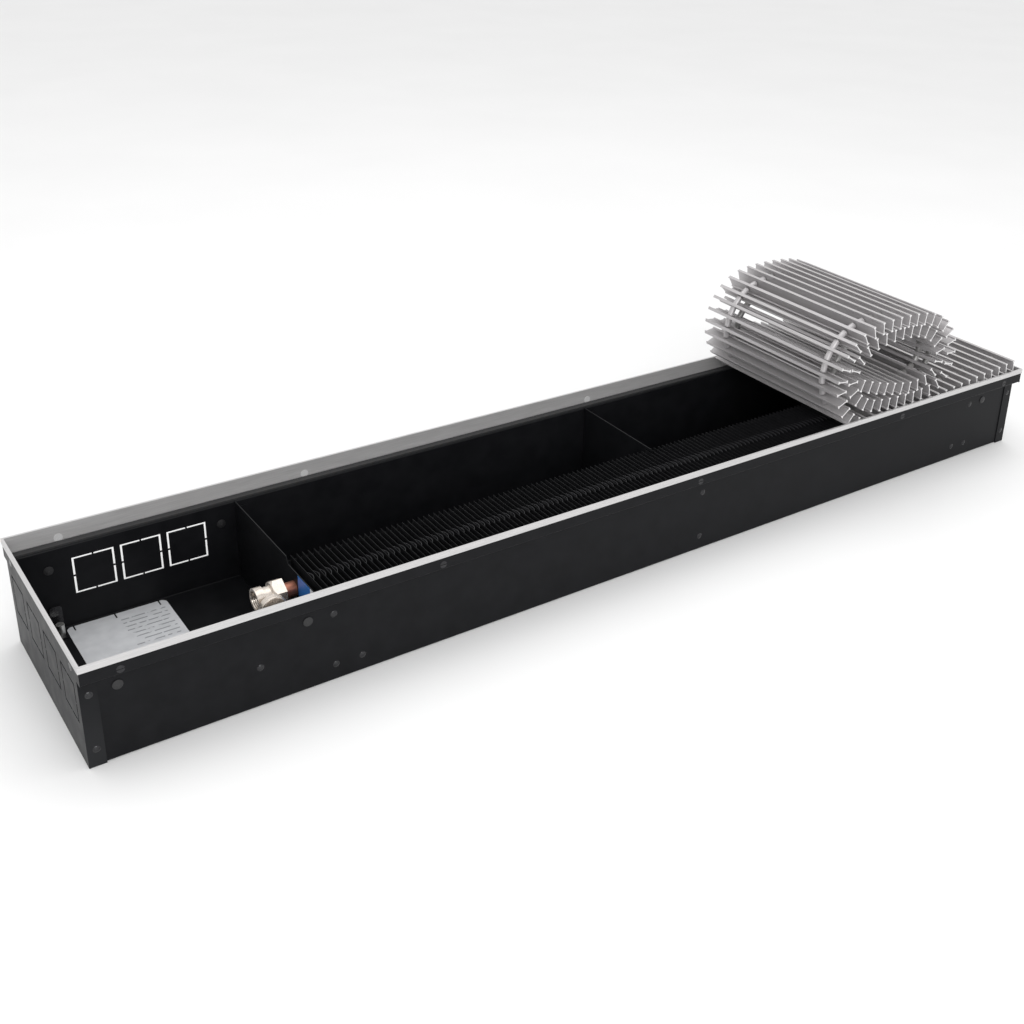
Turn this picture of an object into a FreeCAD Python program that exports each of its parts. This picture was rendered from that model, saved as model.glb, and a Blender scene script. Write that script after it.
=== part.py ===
"""In-floor trench convector: a folded steel trough with an aluminium edge frame, a finned
water heat exchanger and a roll-up slat grille that is half rolled up on the trough.

Frame: +X along the trough, +Y towards the window side, +Z up; the origin is the middle of
the underside. Millimetres.
"""
import FreeCAD, Part
import math
import os
import Sketcher
from FreeCAD import Placement, Rotation, Vector

X_AXIS = Vector(1, 0, 0)
Y_AXIS = Vector(0, 1, 0)
Z_AXIS = Vector(0, 0, 1)

SIZES = [
    ("frame_length", 1200.0, "overall length, over the edge frame"),
    ("frame_width", 242.0, "overall width, over the edge frame"),
    ("frame_height", 108.0, "underside of the trough to the top of the edge frame"),
    ("steel", 1.0, "sheet thickness of trough, end plates and partitions"),
    ("shoulder_reach", 11.3, "how far the shoulder stands out from the long wall"),
    ("ledge_depth", 18.0, "top of the edge frame down to the ledge"),
    ("bend_radius", 1.0, "inside radius of the folds"),
    ("frame_wall", 0.7, "wall of the aluminium edge profile"),
    ("frame_outer_leg", 5.8, "height of the edge profile's outer leg"),
    ("end_lap", 14.0, "length of the end plate's side flanges"),
    ("knockout_side", 40.0, "outer side of a square knock-out"),
    ("knockout_slit", 2.0, "width of the slit round a knock-out"),
    ("knockout_bridge", 1.5, "width of the bridges that hold a knock-out"),
    ("wall_knockout_first", 75.9, "end of the trough to the first wall knock-out's centre"),
    ("wall_knockout_pitch", 46.0, "centre to centre of the wall knock-outs"),
    ("wall_knockout_count", 3, "knock-outs in the rear wall"),
    ("wall_knockout_height", 55.0, "centre height of the wall knock-outs"),
    ("end_knockout_pitch", 53.0, "centre to centre of the end knock-outs"),
    ("end_knockout_count", 4, "knock-outs in the left end plate"),
    ("end_knockout_height", 60.0, "centre height of the end knock-outs"),
    ("inlet_offset", 220.0, "left end to the partition of the connection chamber"),
    ("middle_offset", 660.0, "left end to the middle partition"),
    ("outlet_offset", 1110.0, "left end to the partition behind the exchanger"),
    ("partition_flange", 14.0, "length of a partition's side flanges"),
    ("partition_gap", 0.5, "partition to wall"),
    ("partition_step", 7.0, "drop of the inlet partition beside the exchanger"),
    ("fin_width", 90.0, "exchanger fin across the trough"),
    ("fin_height", 44.0, "exchanger fin height"),
    ("fin_steel", 0.4, "exchanger fin thickness"),
    ("fin_pitch", 6.0, "fin to fin"),
    ("fin_top_drop", 4.0, "ledge down to the fins' top"),
    ("fin_wall_gap", 3.0, "front wall to the fins"),
    ("fin_end_gap", 6.0, "partition to the nearest fin"),
    ("tube_radius", 7.5, "exchanger tube, outside"),
    ("tube_bore", 6.5, "exchanger tube, inside"),
    ("tube_spacing", 44.0, "flow tube to return tube"),
    ("tube_play", 0.05, "fin hole to tube, radial"),
    ("hole_play", 0.6, "hole in a partition to the tube, radial"),
    ("tube_overhang", 12.0, "tube beyond the outlet partition"),
    ("tube_seat", 0.5, "end of the tube to the fitting it is clamped to"),
    ("nut_flats", 26.0, "union nut across flats"),
    ("nut_length", 12.0, "union nut length"),
    ("nut_gap", 12.4, "inlet partition to the union nut"),
    ("valve_length", 16.0, "valve body along the tube"),
    ("valve_radius", 9.8, "valve body barrel"),
    ("port_radius", 11.6, "collar round the pipe port"),
    ("port_collar", 8.0, "length of that collar"),
    ("port_bore", 9.3, "pipe port, half-inch female thread"),
    ("port_depth", 9.0, "depth of the pipe port"),
    ("branch_reach", 22.0, "valve axis to the end of its spindle branch"),
    ("branch_radius", 5.9, "spindle branch"),
    ("branch_offset", 9.8, "pipe port face to the spindle branch's axis"),
    ("cap_radius", 13.0, "spindle cap"),
    ("cap_height", 6.5, "spindle cap"),
    ("cap_grip", 4.0, "how far the spindle branch reaches into the cap"),
    ("cap_play", 0.05, "spindle branch to cap, radial"),
    ("cap_gap", 0.4, "end of the spindle branch to the bottom of the cap"),
    ("vent_radius", 3.2, "air vent screw"),
    ("vent_height", 4.5, "air vent boss above the connector"),
    ("slat_height", 15.4, "grille slat, flange to flange"),
    ("roll_slat_height", 15.4, "slat height that the roll's radii are given for; they grow with the slats"),
    ("slat_flange", 3.6, "width of the slat's flanges"),
    ("slat_lip", 1.3, "thickness of the slat's flanges"),
    ("slat_web", 1.2, "thickness of the slat's web"),
    ("slat_play", 0.7, "slat end to edge frame"),
    ("slat_pitch", 14.5, "slat to slat"),
    ("slat_count", 82, "slats in the whole grille"),
    ("flat_count", 20, "slats that lie flat on the right"),
    ("bend_count", 11, "slats in the loose bend of the roll"),
    ("sleeve_radius", 3.75, "spacer sleeve"),
    ("sleeve_bore", 2.8, "spacer sleeve, inside"),
    ("sleeve_gap", 1.2, "spacer sleeve to slat"),
    ("sleeve_inset", 33.0, "slat end to the row of sleeves"),
    ("spring_radius", 1.5, "spring core through the slats"),
    ("spring_hole", 2.0, "hole in a slat for the spring"),
    ("spring_tail", 5.0, "spring beyond the last slat"),
    ("grille_end_gap", 16.7, "last slat's centre to the end of the edge frame"),
    ("tilt_turn", 5.0, "degrees that the free end of the grille stands up"),
    ("tilt_run", 157.0, "length of the raised stretch"),
    ("tilt_radius", 180.0, "radius where it comes down to the ledge"),
    ("strip_width", 8.0, "damping strip under the slat ends"),
    ("strip_height", 2.0, "damping strip"),
    ("card_length", 98.0, "data card along the trough"),
    ("card_width", 140.0, "data card across the trough"),
    ("card_thickness", 0.5, "data card"),
    ("card_corner", 6.0, "data card corner radius"),
    ("card_end_gap", 40.8, "end of the trough to the card"),
    ("card_wall_gap", 3.0, "rear wall to the card"),
    ("card_slot", 8.0, "length of the slots in the card's edge"),
    ("card_slot_width", 1.6, "width of those slots"),
    ("sticker_length", 50.0, "flow sticker along the partition"),
    ("sticker_height", 30.0, "flow sticker"),
    ("sticker_film", 0.2, "flow sticker"),
    ("sticker_gap", 1.5, "return tube to the sticker"),
    ("foot_inset", 35.2, "end of the trough to a levelling bolt"),
    ("foot_wall_gap", 12.0, "long wall to a levelling bolt"),
    ("foot_width", 12.0, "levelling bracket along the trough"),
    ("foot_height", 27.0, "levelling bracket"),
    ("foot_plate", 2.0, "levelling bracket steel"),
    ("foot_depth", 20.0, "levelling bracket out from the wall"),
    ("foot_corner", 3.0, "rounding of the bracket's upper corners"),
    ("foot_bolt", 4.0, "levelling bolt radius"),
    ("foot_play", 0.05, "levelling bolt to its thread, radial"),
    ("foot_clearance", 0.5, "levelling bolt to the hole in the floor, radial"),
    ("foot_bolt_top", 14.0, "levelling bolt's top above the underside"),
    ("foot_slot", 1.2, "driver slot in the levelling bolt's top"),
    ("foot_slot_depth", 2.0, "depth of that slot"),
    ("screw_head", 3.6, "frame screw head radius"),
    ("screw_shank", 1.9, "frame screw shank radius"),
    ("screw_drop", 13.5, "top of the edge frame to the frame screws"),
    ("clinch_radius", 4.2, "clinch disc inside the edge frame"),
    ("clinch_height", 0.3, "clinch disc inside the edge frame"),
    ("rivet_head", 3.4, "rivet head radius"),
    ("rivet_rise", 1.1, "rivet head height"),
    ("rivet_shank", 1.6, "rivet shank radius"),
    ("rivet_low", 17.0, "lower rivets above the underside"),
    ("rivet_high", 72.0, "upper rivets above the underside"),
    ("rivet_play", 0.05, "rivet or screw to its hole, radial"),
    ("plug_radius", 4.6, "wall plug head radius"),
    ("plug_rise", 1.4, "wall plug head height, on both faces"),
    ("plug_rim", 0.7, "straight rim under the wall plug's dome"),
    ("plug_shank", 3.0, "wall plug shank radius"),
]

# Frame screws: share of the half length (long rails) or of the half width (end plates).
SCREWS_FRONT = (-0.945, -0.442, 0.088, 0.622, 0.945)
SCREWS_REAR = (-0.918, -0.497, 0.12, 0.622, 0.918)
SCREWS_END = (-0.79, 0.79)

# Single rivets and blind plugs in the long walls: side, share of the half length, height.
WALL_RIVETS = [(-1, -0.742, 41), (-1, -0.577, 17), (-1, 0.821, 18)]
WALL_PLUGS = [(-1, -0.946, 73), (-1, -0.664, 73), (-1, 0.902, 73),
              (1, -0.942, 68), (1, -0.659, 68), (1, 0.902, 68)]

# The roll, from the point where the grille leaves the ledge: radius and turn of each arc.
ROLL = [(24, 21), (60, 147), (100, 7), (329, 12), (88, 26), (51, 81), (38, 59), (317, 17),
        (64, 32), (34, 91), (62, 37), (178, 21), (56, 51), (27, 91), (63, 35), (377, 19)]

doc = FreeCAD.newDocument("trench_convector")
sheet = doc.addObject("Spreadsheet::Sheet", "sizes")


def fill_sheet():
    """Put every driving dimension in its own aliased cell."""
    rows = list(SIZES)
    for number, (radius, turn) in enumerate(ROLL, 1):
        rows.append(("roll_radius_%02d" % number, radius, "radius of the roll's arc %d" % number))
        rows.append(("roll_turn_%02d" % number, turn, "degrees of the roll's arc %d" % number))
    for row, (alias, number, note) in enumerate(rows, 1):
        sheet.set("A%d" % row, str(number))
        sheet.setAlias("A%d" % row, alias)
        sheet.set("B%d" % row, note)
    doc.recompute()


def size(alias):
    """A driving dimension as a number, for the pieces that are set out in code."""
    return float(sheet.get(alias))


def named(text):
    """An expression with every alias pointed at the sheet."""
    words = [alias for alias, _, _ in SIZES]
    out = ""
    word = ""
    for letter in text + " ":
        if letter.isalnum() or letter == "_":
            word += letter
            continue
        out += ("sizes." + word) if word in words else word
        out += letter
        word = ""
    return out.strip()


def bind(thing, **expressions):
    """Tie properties to expressions; a double underscore stands for a dot."""
    for name, text in expressions.items():
        thing.setExpression(name.replace("__", "."), named(text))
    return thing


def place(thing, x="0", y="0", z="0"):
    """Tie a thing's position to expressions."""
    return bind(thing, Placement__Base__x=x, Placement__Base__y=y, Placement__Base__z=z)


def new_body(label):
    """An empty PartDesign body."""
    body = doc.addObject("PartDesign::Body", label)
    body.Label = label
    return body


def new_sketch(body, name, plane, offset="0"):
    """A sketch on one of its body's origin planes, moved along the plane's normal."""
    sketch = body.newObject("Sketcher::SketchObject", name)
    support = [item for item in body.Origin.OriginFeatures if item.Role == plane][0]
    sketch.AttachmentSupport = [(support, "")]
    sketch.MapMode = "FlatFace"
    bind(sketch, AttachmentOffset__Base__z=offset)
    return sketch


def add_outline(sketch, points):
    """A closed polygon whose corners are pairs of expressions."""
    first = sketch.GeometryCount
    count = len(points)
    start = [(7.0 * math.cos(math.tau * i / count), 7.0 * math.sin(math.tau * i / count))
             for i in range(count)]
    for i in range(count):
        here = Vector(start[i][0], start[i][1], 0)
        there = Vector(start[(i + 1) % count][0], start[(i + 1) % count][1], 0)
        sketch.addGeometry(Part.LineSegment(here, there), False)
    for i in range(count):
        follower = first + (i + 1) % count
        sketch.addConstraint(Sketcher.Constraint("Coincident", first + i, 2, follower, 1))
    for i, (across, up) in enumerate(points):
        for kind, text, rough in (("DistanceX", across, start[i][0]), ("DistanceY", up, start[i][1])):
            index = sketch.addConstraint(Sketcher.Constraint(kind, -1, 1, first + i, 1, rough))
            sketch.setExpression("Constraints[%d]" % index, named(text))


def add_circle(sketch, across, up, radius):
    """A circle whose centre and radius are expressions."""
    index = sketch.addGeometry(Part.Circle(Vector(3, 3, 0), Z_AXIS, 2.0), False)
    for kind, text in (("DistanceX", across), ("DistanceY", up)):
        at = sketch.addConstraint(Sketcher.Constraint(kind, -1, 1, index, 3, 3.0))
        sketch.setExpression("Constraints[%d]" % at, named(text))
    at = sketch.addConstraint(Sketcher.Constraint("Radius", index, 2.0))
    sketch.setExpression("Constraints[%d]" % at, named(radius))


def pad(body, sketch, length, middle=False, back=False):
    """Pad a sketch, either way from its plane or to both sides of it."""
    feature = body.newObject("PartDesign::Pad", sketch.Name + "_pad")
    feature.Profile = sketch
    feature.Midplane = middle
    feature.Reversed = back
    bind(feature, Length=length)
    doc.recompute()
    return feature


def pocket(body, sketch, length, middle=False, back=False):
    """Pocket a sketch and make sure that it took material away."""
    before = body.Shape.Volume
    feature = body.newObject("PartDesign::Pocket", sketch.Name + "_pocket")
    feature.Profile = sketch
    feature.Midplane = middle
    feature.Reversed = back
    bind(feature, Length=length)
    doc.recompute()
    if not body.Shape.Volume < before:
        raise RuntimeError("%s cuts nothing" % feature.Name)
    return feature


def repeat(body, feature, axis, count, length):
    """A row of a feature along one of the body's origin axes."""
    before = body.Shape.Volume
    row = body.newObject("PartDesign::LinearPattern", feature.Name + "_row")
    row.Originals = [feature]
    line = [item for item in body.Origin.OriginFeatures if item.Role == axis][0]
    row.Direction = (line, [""])
    bind(row, Length=length, Occurrences=count)
    body.Tip = row
    doc.recompute()
    if not body.Shape.Volume < before:
        raise RuntimeError("%s repeats nothing" % feature.Name)
    return row


def fold(body, radius, wanted):
    """Round the folds: fillet the straight edges that wanted() accepts."""
    edges = ["Edge%d" % (i + 1) for i, edge in enumerate(body.Shape.Edges) if wanted(edge)]
    before = body.Tip
    feature = body.newObject("PartDesign::Fillet", "%s_fold_%d" % (body.Name, len(body.Group)))
    feature.Base = (before, edges)
    bind(feature, Radius=radius)
    doc.recompute()
    return feature


def runs_along(edge, axis, across, up, spot):
    """Whether an edge is straight along axis and passes through one of the spots."""
    if not isinstance(edge.Curve, Part.Line) or abs(edge.Curve.Direction.dot(axis)) < 0.999:
        return False
    middle = edge.valueAt((edge.FirstParameter + edge.LastParameter) / 2)
    here = (middle.dot(across), middle.dot(up))
    return any(math.hypot(here[0] - a, here[1] - b) < 0.01 for a, b in spot)


def box(label, length, width, height, x, y, z):
    """A block with its low corner at x, y, z; all six are expressions."""
    thing = doc.addObject("Part::Box", label)
    bind(thing, Length=length, Width=width, Height=height)
    return place(thing, x, y, z)


def rod(label, radius, height, direction, x, y, z):
    """A cylinder from x, y, z along a direction."""
    thing = doc.addObject("Part::Cylinder", label)
    thing.Placement = Placement(Vector(0, 0, 0), Rotation(Z_AXIS, direction))
    bind(thing, Radius=radius, Height=height)
    return place(thing, x, y, z)


def minus(label, base, *tools):
    """Base without the tools."""
    for number, tool in enumerate(tools, 1):
        cut = doc.addObject("Part::Cut", label if number == len(tools) else "%s_cut%d" % (label, number))
        cut.Base = base
        cut.Tool = tool
        base = cut
    return base


def plus(label, *pieces):
    """Pieces fused into one solid."""
    joined = doc.addObject("Part::MultiFuse", label)
    joined.Shapes = list(pieces)
    return joined


def group(label, solids):
    """Like pieces that share one node, as separate solids set out in code."""
    feature = doc.addObject("Part::Feature", label)
    feature.Shape = Part.Compound(solids)
    feature.Placement = Placement()
    return feature


def moved(shape, place_of):
    """A copy of a prototype at a placement."""
    copy = shape.copy()
    copy.Placement = place_of
    return copy


# ---------------------------------------------------------------- shared expressions

STEEL_LENGTH = "(frame_length - 2 * frame_wall)"
STEEL_HEIGHT = "(frame_height - frame_wall)"
SHOULDER = "(frame_width / 2 - frame_wall)"
WALL = "(frame_width / 2 - frame_wall - shoulder_reach)"
LEDGE = "(frame_height - ledge_depth)"
FRAME_LIP = "(2 * frame_wall + steel)"
END = "(frame_length / 2 - frame_wall)"
FIN_TOP = "(frame_height - ledge_depth - fin_top_drop)"
FIN_FRONT = "(-frame_width / 2 + frame_wall + shoulder_reach + steel + fin_wall_gap)"
TUBE_HEIGHT = "(frame_height - ledge_depth - fin_top_drop - fin_height / 2)"
FLOW_Y = "(%s + fin_width / 2 - tube_spacing / 2)" % FIN_FRONT
RETURN_Y = "(%s + fin_width / 2 + tube_spacing / 2)" % FIN_FRONT
NUT_END = "(inlet_offset - frame_length / 2 - nut_gap)"
PORT_FACE = "(inlet_offset - frame_length / 2 - nut_gap - nut_length - valve_length)"


# ---------------------------------------------------------------- trough

def knockout_slits(sketch, across, up):
    """Four L-shaped slits that leave a square held by a bridge in the middle of each side."""
    for right in (1, -1):
        for high in (1, -1):
            def at(a, b):
                return ("%s + (%d) * (%s)" % (across, right, a), "%s + (%d) * (%s)" % (up, high, b))
            half = "knockout_side / 2"
            inner = "(knockout_side / 2 - knockout_slit)"
            bridge = "knockout_bridge / 2"
            add_outline(sketch, [at(bridge, half), at(half, half), at(half, bridge),
                                 at(inner, bridge), at(inner, inner), at(bridge, inner)])


def trough_blank():
    """The folded channel: floor, long walls, ledges and shoulders, with the knock-outs cut."""
    body = new_body("trough_blank")
    sketch = new_sketch(body, "channel_section", "YZ_Plane")
    right = [(WALL, "0"), (WALL, LEDGE + " - steel"), (SHOULDER, LEDGE + " - steel"),
             (SHOULDER, STEEL_HEIGHT), (SHOULDER + " - steel", STEEL_HEIGHT),
             (SHOULDER + " - steel", LEDGE), (WALL + " - steel", LEDGE), (WALL + " - steel", "steel")]
    left = [("-(%s)" % across, up) for across, up in reversed(right)]
    add_outline(sketch, right + left)
    pad(body, sketch, STEEL_LENGTH + " - 2 * steel", middle=True)
    wall = size("frame_width") / 2 - size("frame_wall") - size("shoulder_reach")
    shoulder = wall + size("shoulder_reach")
    steel = size("steel")
    ledge = size("frame_height") - size("ledge_depth")
    inside = [(wall - steel, steel), (wall, ledge - steel), (shoulder - steel, ledge)]
    outside = [(wall, 0), (wall - steel, ledge), (shoulder, ledge - steel)]
    for radius, spots in (("bend_radius", inside), ("bend_radius + steel", outside)):
        both = spots + [(-a, b) for a, b in spots]
        fold(body, radius, lambda edge: runs_along(edge, X_AXIS, Y_AXIS, Z_AXIS, both))
    slits = new_sketch(body, "wall_slits", "XZ_Plane")
    knockout_slits(slits, "(-%s + wall_knockout_first)" % END, "wall_knockout_height")
    cut = pocket(body, slits, "frame_width", back=False)
    repeat(body, cut, "X_Axis", "wall_knockout_count", "wall_knockout_pitch * (wall_knockout_count - 1)")
    return body


def end_plate_blank(label, side, knockouts):
    """An end plate in the trough's outline, with side flanges that lap the long walls."""
    body = new_body(label)
    outside = "%d * %s" % (side, END)
    inside = "%d * (%s - steel)" % (side, END)
    sketch = new_sketch(body, label + "_outline", "YZ_Plane", inside if side > 0 else outside)
    lap = WALL + " + steel"
    right = [(lap, "0"), (lap, LEDGE + " - steel"), (SHOULDER, LEDGE + " - steel"), (SHOULDER, STEEL_HEIGHT)]
    left = [("-(%s)" % across, up) for across, up in reversed(right)]
    add_outline(sketch, right + left)
    pad(body, sketch, "steel")
    flanges = new_sketch(body, label + "_flanges", "YZ_Plane", inside)
    for way in ("", "-"):
        add_outline(flanges, [(way + WALL, "0"), ("%s(%s)" % (way, lap), "0"),
                              ("%s(%s)" % (way, lap), LEDGE + " - steel - bend_radius - steel"),
                              (way + WALL, LEDGE + " - steel - bend_radius - steel")])
    pad(body, flanges, "end_lap", back=side > 0)
    if knockouts:
        slits = new_sketch(body, label + "_slits", "YZ_Plane", outside)
        knockout_slits(slits, "(-end_knockout_pitch * (end_knockout_count - 1) / 2)", "end_knockout_height")
        cut = pocket(body, slits, "2 * steel", middle=True)
        repeat(body, cut, "Y_Axis", "end_knockout_count", "end_knockout_pitch * (end_knockout_count - 1)")
    return body


# ---------------------------------------------------------------- edge frame

def frame_rail_blank(label, along_x, side):
    """One length of the U-shaped edge profile, mitred at both ends.

    Its inner leg stops just above the fold between the ledge and the shoulder.
    """
    body = new_body(label)
    overall, other = ("frame_length", "frame_width") if along_x else ("frame_width", "frame_length")
    plane = "YZ_Plane" if along_x else "XZ_Plane"
    edge = "(%s / 2)" % other
    top = "frame_height"
    inner = edge + " - frame_wall - steel"
    section = [(edge, top), (edge, top + " - frame_outer_leg"),
               (edge + " - frame_wall", top + " - frame_outer_leg"),
               (edge + " - frame_wall", top + " - frame_wall"),
               (inner, top + " - frame_wall"), (inner, LEDGE + " + bend_radius"),
               (edge + " - " + FRAME_LIP, LEDGE + " + bend_radius"), (edge + " - " + FRAME_LIP, top)]
    sketch = new_sketch(body, label + "_section", plane)
    add_outline(sketch, [("%d * (%s)" % (side, across), up) for across, up in section])
    pad(body, sketch, overall, middle=True)
    corners = new_sketch(body, label + "_mitres", "XY_Plane", "frame_height + 1")
    for end in (1, -1):
        tip = "%d * (%s / 2)" % (end, overall)
        beyond = "%d * (%s / 2 + 1)" % (end, overall)
        back = "%d * (%s / 2 - %s - 1)" % (end, overall, FRAME_LIP)
        inner = "%d * (%s - %s - 1)" % (side, edge, FRAME_LIP)
        outer = "%d * %s" % (side, edge)
        cut = [(tip, outer), (beyond, outer), (beyond, inner), (back, inner)]
        add_outline(corners, cut if along_x else [(across, up) for up, across in cut])
    pocket(body, corners, "frame_height + 2")
    return body


# ---------------------------------------------------------------- screws and rivets

def screw_places():
    """Frame screws: positions on the shoulders and end plates, each with its inward direction."""
    height = size("frame_height") - size("screw_drop")
    shoulder = size("frame_width") / 2 - size("frame_wall")
    end = size("frame_length") / 2 - size("frame_wall")
    spots = []
    for share in SCREWS_FRONT:
        spots.append((Vector(share * end, -shoulder, height), Y_AXIS))
    for share in SCREWS_REAR:
        spots.append((Vector(share * end, shoulder, height), -Y_AXIS))
    for share in SCREWS_END:
        spots.append((Vector(-end, share * shoulder, height), X_AXIS))
        spots.append((Vector(end, share * shoulder, height), -X_AXIS))
    return spots


def rivet_places():
    """Rivets of the end plate laps, the partition flanges and the bare walls, each on the face it is set from."""
    wall = size("frame_width") / 2 - size("frame_wall") - size("shoulder_reach")
    end = size("frame_length") / 2 - size("frame_wall") - size("steel")
    lap = end - size("end_lap") / 2
    ends = []
    partitions = []
    for side in (-1, 1):
        for height in (size("rivet_low"), size("rivet_high")):
            for across in (-lap, lap):
                ends.append((Vector(across, side * (wall + size("steel")), height), -side * Y_AXIS))
            for offset in ("inlet_offset", "middle_offset", "outlet_offset"):
                at = size(offset) - size("frame_length") / 2 + size("partition_flange") / 2
                partitions.append((Vector(at, side * wall, height), -side * Y_AXIS))
    return ends, partitions, wall_places(WALL_RIVETS)


def wall_places(spots):
    """Places on the outside of the long walls, each with its inward direction."""
    wall = size("frame_width") / 2 - size("frame_wall") - size("shoulder_reach")
    return [(Vector(share * size("frame_length") / 2, side * wall, height), -side * Y_AXIS)
            for side, share, height in spots]


def pointing(spot, direction):
    """Placement of a prototype that is drawn along +Z."""
    return Placement(spot, Rotation(Z_AXIS, direction))


def screw_shape():
    """Countersunk frame screw, its axis along +Z and its head flush with the plane z = 0."""
    steel = size("steel")
    shank = steel + size("frame_wall")
    head = Part.makeCone(size("screw_head"), size("screw_shank"), steel, Vector(0, 0, 0), Z_AXIS)
    slot = Part.makeBox(2 * size("screw_head"), 0.8, 0.5, Vector(-size("screw_head"), -0.4, -0.1))
    return head.cut(slot).fuse(Part.makeCylinder(size("screw_shank"), shank, Vector(0, 0, 0), Z_AXIS).cut(slot))


def dome_shape(radius, rise):
    """A shallow dome that stands out on the -Z side of the plane z = 0."""
    ball = (radius * radius + rise * rise) / (2 * rise)
    dome = Part.makeSphere(ball, Vector(0, 0, ball - rise))
    return dome.common(Part.makeCylinder(radius, rise, Vector(0, 0, -rise), Z_AXIS))


def rivet_shape(grip):
    """Dome-head rivet along +Z; the head stands out on the -Z side of its grip."""
    shank = Part.makeCylinder(size("rivet_shank"), grip, Vector(0, 0, 0), Z_AXIS)
    return dome_shape(size("rivet_head"), size("rivet_rise")).fuse(shank)


def plug_shape():
    """Snap-in wall plug along +Z, with a rimmed dome on both faces of the sheet."""
    steel = size("steel")
    rim = size("plug_rim")
    crown = dome_shape(size("plug_radius"), size("plug_rise") - rim)
    crown.translate(Vector(0, 0, -rim))
    head = crown.fuse(Part.makeCylinder(size("plug_radius"), rim, Vector(0, 0, -rim), Z_AXIS))
    inner = moved(head, Placement(Vector(0, 0, steel), Rotation(X_AXIS, 180)))
    return head.fuse([Part.makeCylinder(size("plug_shank"), steel, Vector(0, 0, 0), Z_AXIS), inner])


def fastener_bores():
    """Every screw hole, countersink and rivet hole, as one cutting tool."""
    play = size("rivet_play")
    steel = size("steel")
    holes = []
    for spot, direction in screw_places():
        reach = steel + size("frame_wall") + 1.0
        holes.append(Part.makeCylinder(size("screw_shank") + play, reach, spot - direction * 0.5, direction))
        holes.append(Part.makeCone(size("screw_head") + play, size("screw_shank") + play, steel, spot, direction))
    ends, partitions, walls = rivet_places()
    for spot, direction in ends + partitions + walls:
        reach = 2 * steel + size("partition_gap") + 1.0
        holes.append(Part.makeCylinder(size("rivet_shank") + play, reach, spot - direction * 0.5, direction))
    for spot, direction in wall_places(WALL_PLUGS):
        holes.append(Part.makeCylinder(size("plug_shank") + play, steel + 1.0, spot - direction * 0.5, direction))
    tool = holes[0].fuse(holes[1:])
    feature = doc.addObject("Part::Feature", "fastener_bores")
    feature.Shape = tool
    feature.Placement = Placement()
    return feature


def foot_places():
    """Levelling bolts: the four places on the floor, with the side of the wall they are at."""
    wall = size("frame_width") / 2 - size("frame_wall") - size("shoulder_reach") - size("steel")
    across = size("frame_length") / 2 - size("foot_inset")
    return [(side_x * across, side_y * (wall - size("foot_wall_gap")), side_y)
            for side_x in (-1, 1) for side_y in (-1, 1)]


def foot_bores():
    """Clearance holes through the floor under the levelling bolts."""
    radius = size("foot_bolt") + size("foot_clearance")
    holes = [Part.makeCylinder(radius, 3 * size("steel"), Vector(x, y, -size("steel")), Z_AXIS)
             for x, y, _ in foot_places()]
    return group("foot_bores", holes)


# ---------------------------------------------------------------- partitions

def partition_blank(label, offset, saddle):
    """A partition across the trough with a flange up each long wall.

    The closed kind steps down beside the exchanger; the saddle kind is cut out round it.
    """
    body = new_body(label)
    at = "(%s - frame_length / 2)" % offset
    wall = "(%s - steel - partition_gap)" % WALL
    sketch = new_sketch(body, label + "_outline", "YZ_Plane", at)
    far_side = "(%s + fin_width + partition_gap)" % FIN_FRONT
    step = "(%s - partition_step)" % LEDGE
    if saddle:
        near_side = "(%s - partition_gap)" % FIN_FRONT
        under = "(%s - fin_height - partition_gap)" % FIN_TOP
        over = "(%s + partition_gap)" % FIN_TOP
        hook = "(%s - 9)" % far_side
        outline = [(wall, "steel"), (wall, LEDGE), (hook, LEDGE), (hook, over), (far_side, over),
                   (far_side, under), (near_side, under), (near_side, step), ("-" + wall, step)]
    else:
        outline = [(wall, "steel"), (wall, LEDGE), (far_side + " - 6", LEDGE), (far_side + " - 9", step),
                   ("-" + wall, step)]
    add_outline(sketch, outline + [("-" + wall, "steel")])
    pad(body, sketch, "steel")
    flanges = new_sketch(body, label + "_flanges", "YZ_Plane", at + " + steel")
    for way in ("", "-"):
        add_outline(flanges, [(way + wall, "4 * steel"), ("%s(%s - steel)" % (way, wall), "4 * steel"),
                              ("%s(%s - steel)" % (way, wall), step), (way + wall, step)])
    pad(body, flanges, "partition_flange - steel")
    if not saddle:
        holes = new_sketch(body, label + "_holes", "YZ_Plane", at)
        for across in (FLOW_Y, RETURN_Y):
            add_circle(holes, across, TUBE_HEIGHT, "tube_radius + hole_play")
        pocket(body, holes, "4 * steel", middle=True)
    return body


# ---------------------------------------------------------------- heat exchanger

def fin_shapes():
    """The fins, each holed for the two tubes, at an even pitch between the end partitions."""
    front = -size("frame_width") / 2 + size("frame_wall") + size("shoulder_reach") + size("steel")
    front += size("fin_wall_gap")
    top = size("frame_height") - size("ledge_depth") - size("fin_top_drop")
    low = top - size("fin_height")
    fin = Part.makeBox(size("fin_steel"), size("fin_width"), size("fin_height"), Vector(0, front, low))
    for side in (-1, 1):
        across = front + size("fin_width") / 2 + side * size("tube_spacing") / 2
        hole = Part.makeCylinder(size("tube_radius") + size("tube_play"), 2.0,
                                 Vector(-0.5, across, (top + low) / 2), X_AXIS)
        fin = fin.cut(hole)
    start = size("inlet_offset") - size("frame_length") / 2 + size("steel") + size("fin_end_gap")
    end = size("outlet_offset") - size("frame_length") / 2 - size("fin_end_gap")
    count = int((end - start) / size("fin_pitch")) + 1
    return [moved(fin, Placement(Vector(start + i * size("fin_pitch"), 0, 0), Rotation())) for i in range(count)]


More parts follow.
